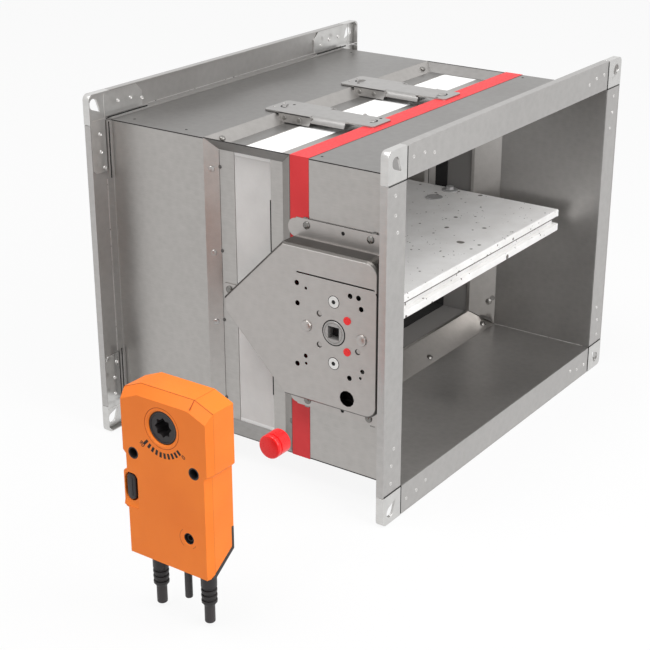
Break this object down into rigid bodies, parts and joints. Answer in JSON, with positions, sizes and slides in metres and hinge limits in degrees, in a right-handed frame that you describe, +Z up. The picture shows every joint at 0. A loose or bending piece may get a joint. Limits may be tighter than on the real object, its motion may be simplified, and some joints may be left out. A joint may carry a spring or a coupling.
{
  "type": "fire damper",
  "caption": "Rectangular duct fire damper with a layered pivoting blade, flanged steel sleeves, a linkage housing and a detachable spring-return actuator.",
  "frame": {"origin": "centre of the blade's turning axis, which is also the centre of the duct and of the wall opening that the waist sits in", "axes": "+X runs along the duct and leaves the front flange, -Y is the mechanism side, +Z is up"},
  "size_m": [0.35, 0.69, 0.36],
  "materials": {
    "galvanised_steel": "galvanised, dull",
    "bright_steel": "zinc plated",
    "fire_board": "white board, matt",
    "blade_board": "white board with fine pits, matt",
    "red_trim": "red film, matt",
    "seal": "black swelling strip",
    "orange_shell": "fine grain",
    "black_plastic": "satin",
    "red_plastic": "gloss"
  },
  "bodies": {
    "duct": {"front_sleeve_top": "galvanised_steel", "front_sleeve_bottom": "galvanised_steel", "front_sleeve_mechanism_side": "galvanised_steel", "front_sleeve_far_side": "galvanised_steel", "rear_sleeve_top": "galvanised_steel", "rear_sleeve_bottom": "galvanised_steel", "rear_sleeve_mechanism_side": "galvanised_steel", "rear_sleeve_far_side": "galvanised_steel", "front_collar": "galvanised_steel", "rear_collar": "galvanised_steel", "fire_board_top": "fire_board", "fire_board_bottom": "fire_board", "fire_board_mechanism_side": "fire_board", "fire_board_far_side": "fire_board", "seal_strip": "seal", "marking_band": "red_trim", "front_flange_top": "galvanised_steel", "front_flange_bottom": "galvanised_steel", "front_flange_mechanism_side": "galvanised_steel", "front_flange_far_side": "galvanised_steel", "rear_flange_top": "galvanised_steel", "rear_flange_bottom": "galvanised_steel", "rear_flange_mechanism_side": "galvanised_steel", "rear_flange_far_side": "galvanised_steel", "front_corner_cleats": "galvanised_steel", "rear_corner_cleats": "galvanised_steel", "top_bracket_near": "galvanised_steel", "top_bracket_far": "galvanised_steel", "bottom_bracket_near": "galvanised_steel", "bottom_bracket_far": "galvanised_steel", "bracket_screws": "bright_steel", "mechanism_housing": "galvanised_steel", "housing_screws": "bright_steel", "blanking_plugs": "red_plastic", "drive_bearing_plate": "bright_steel", "bearing_plate_screws": "bright_steel", "drive_side_bush": "bright_steel", "far_side_bush": "bright_steel"},
    "blade": {"blade_upper_board": "blade_board", "blade_core_board": "blade_board", "blade_lower_board": "blade_board", "blade_drive_shaft": "bright_steel", "blade_pivot_shaft": "bright_steel", "blade_clamp_discs": "bright_steel", "blade_clamp_bolts": "bright_steel", "blade_crank": "bright_steel"},
    "drive": {"drive_hub": "bright_steel", "drive_crank": "bright_steel"},
    "rod": {"coupling_rod": "bright_steel"},
    "actuator": {"actuator_cover": "orange_shell", "actuator_case": "orange_shell", "actuator_base": "black_plastic", "cable_glands": "black_plastic", "cable_stubs": "black_plastic"},
    "clamp": {"drive_clamp": "black_plastic", "square_spindle": "bright_steel"},
    "lever": {"release_lever": "black_plastic"},
    "capsule": {"trip_capsule": "red_plastic"}
  },
  "joints": [
    {"name": "blade_turn", "type": "hinge", "parent": "duct", "child": "blade", "pos_m": [0, 0, 0], "axis": [0, -1, 0], "range_deg": [0, 90]},
    {"name": "drive_turn", "type": "hinge", "parent": "duct", "child": "drive", "pos_m": [0.1152, 0, 0], "axis": [0, -1, 0], "range_deg": [0, 90]},
    {"name": "rod_swing", "type": "hinge", "parent": "drive", "child": "rod", "pos_m": [0.12341, 0, 0.0022], "axis": [0, -1, 0], "range_deg": [-90, 0]},
    {"name": "actuator_slide", "type": "slide", "parent": "duct", "child": "actuator", "axis": [0, 1, 0], "range_m": [0, 0.202]},
    {"name": "clamp_turn", "type": "hinge", "parent": "actuator", "child": "clamp", "pos_m": [0.1152, -0.44, 0], "axis": [0, -1, 0], "range_deg": [0, 90]},
    {"name": "lever_turn", "type": "hinge", "parent": "actuator", "child": "lever", "pos_m": [0.0787, -0.456, -0.063], "axis": [0, -1, 0], "range_deg": [-15, 15]},
    {"name": "capsule_slide", "type": "slide", "parent": "duct", "child": "capsule", "axis": [0, 1, 0], "range_m": [0, 0.1002]}
  ],
  "couplings": [
    {"joint": "drive_turn", "follows": "blade_turn", "ratio": 1},
    {"joint": "rod_swing", "follows": "blade_turn", "ratio": -1},
    {"joint": "clamp_turn", "follows": "blade_turn", "ratio": 1},
    {"joint": "capsule_slide", "follows": "actuator_slide", "ratio": 0.49604}
  ]
}
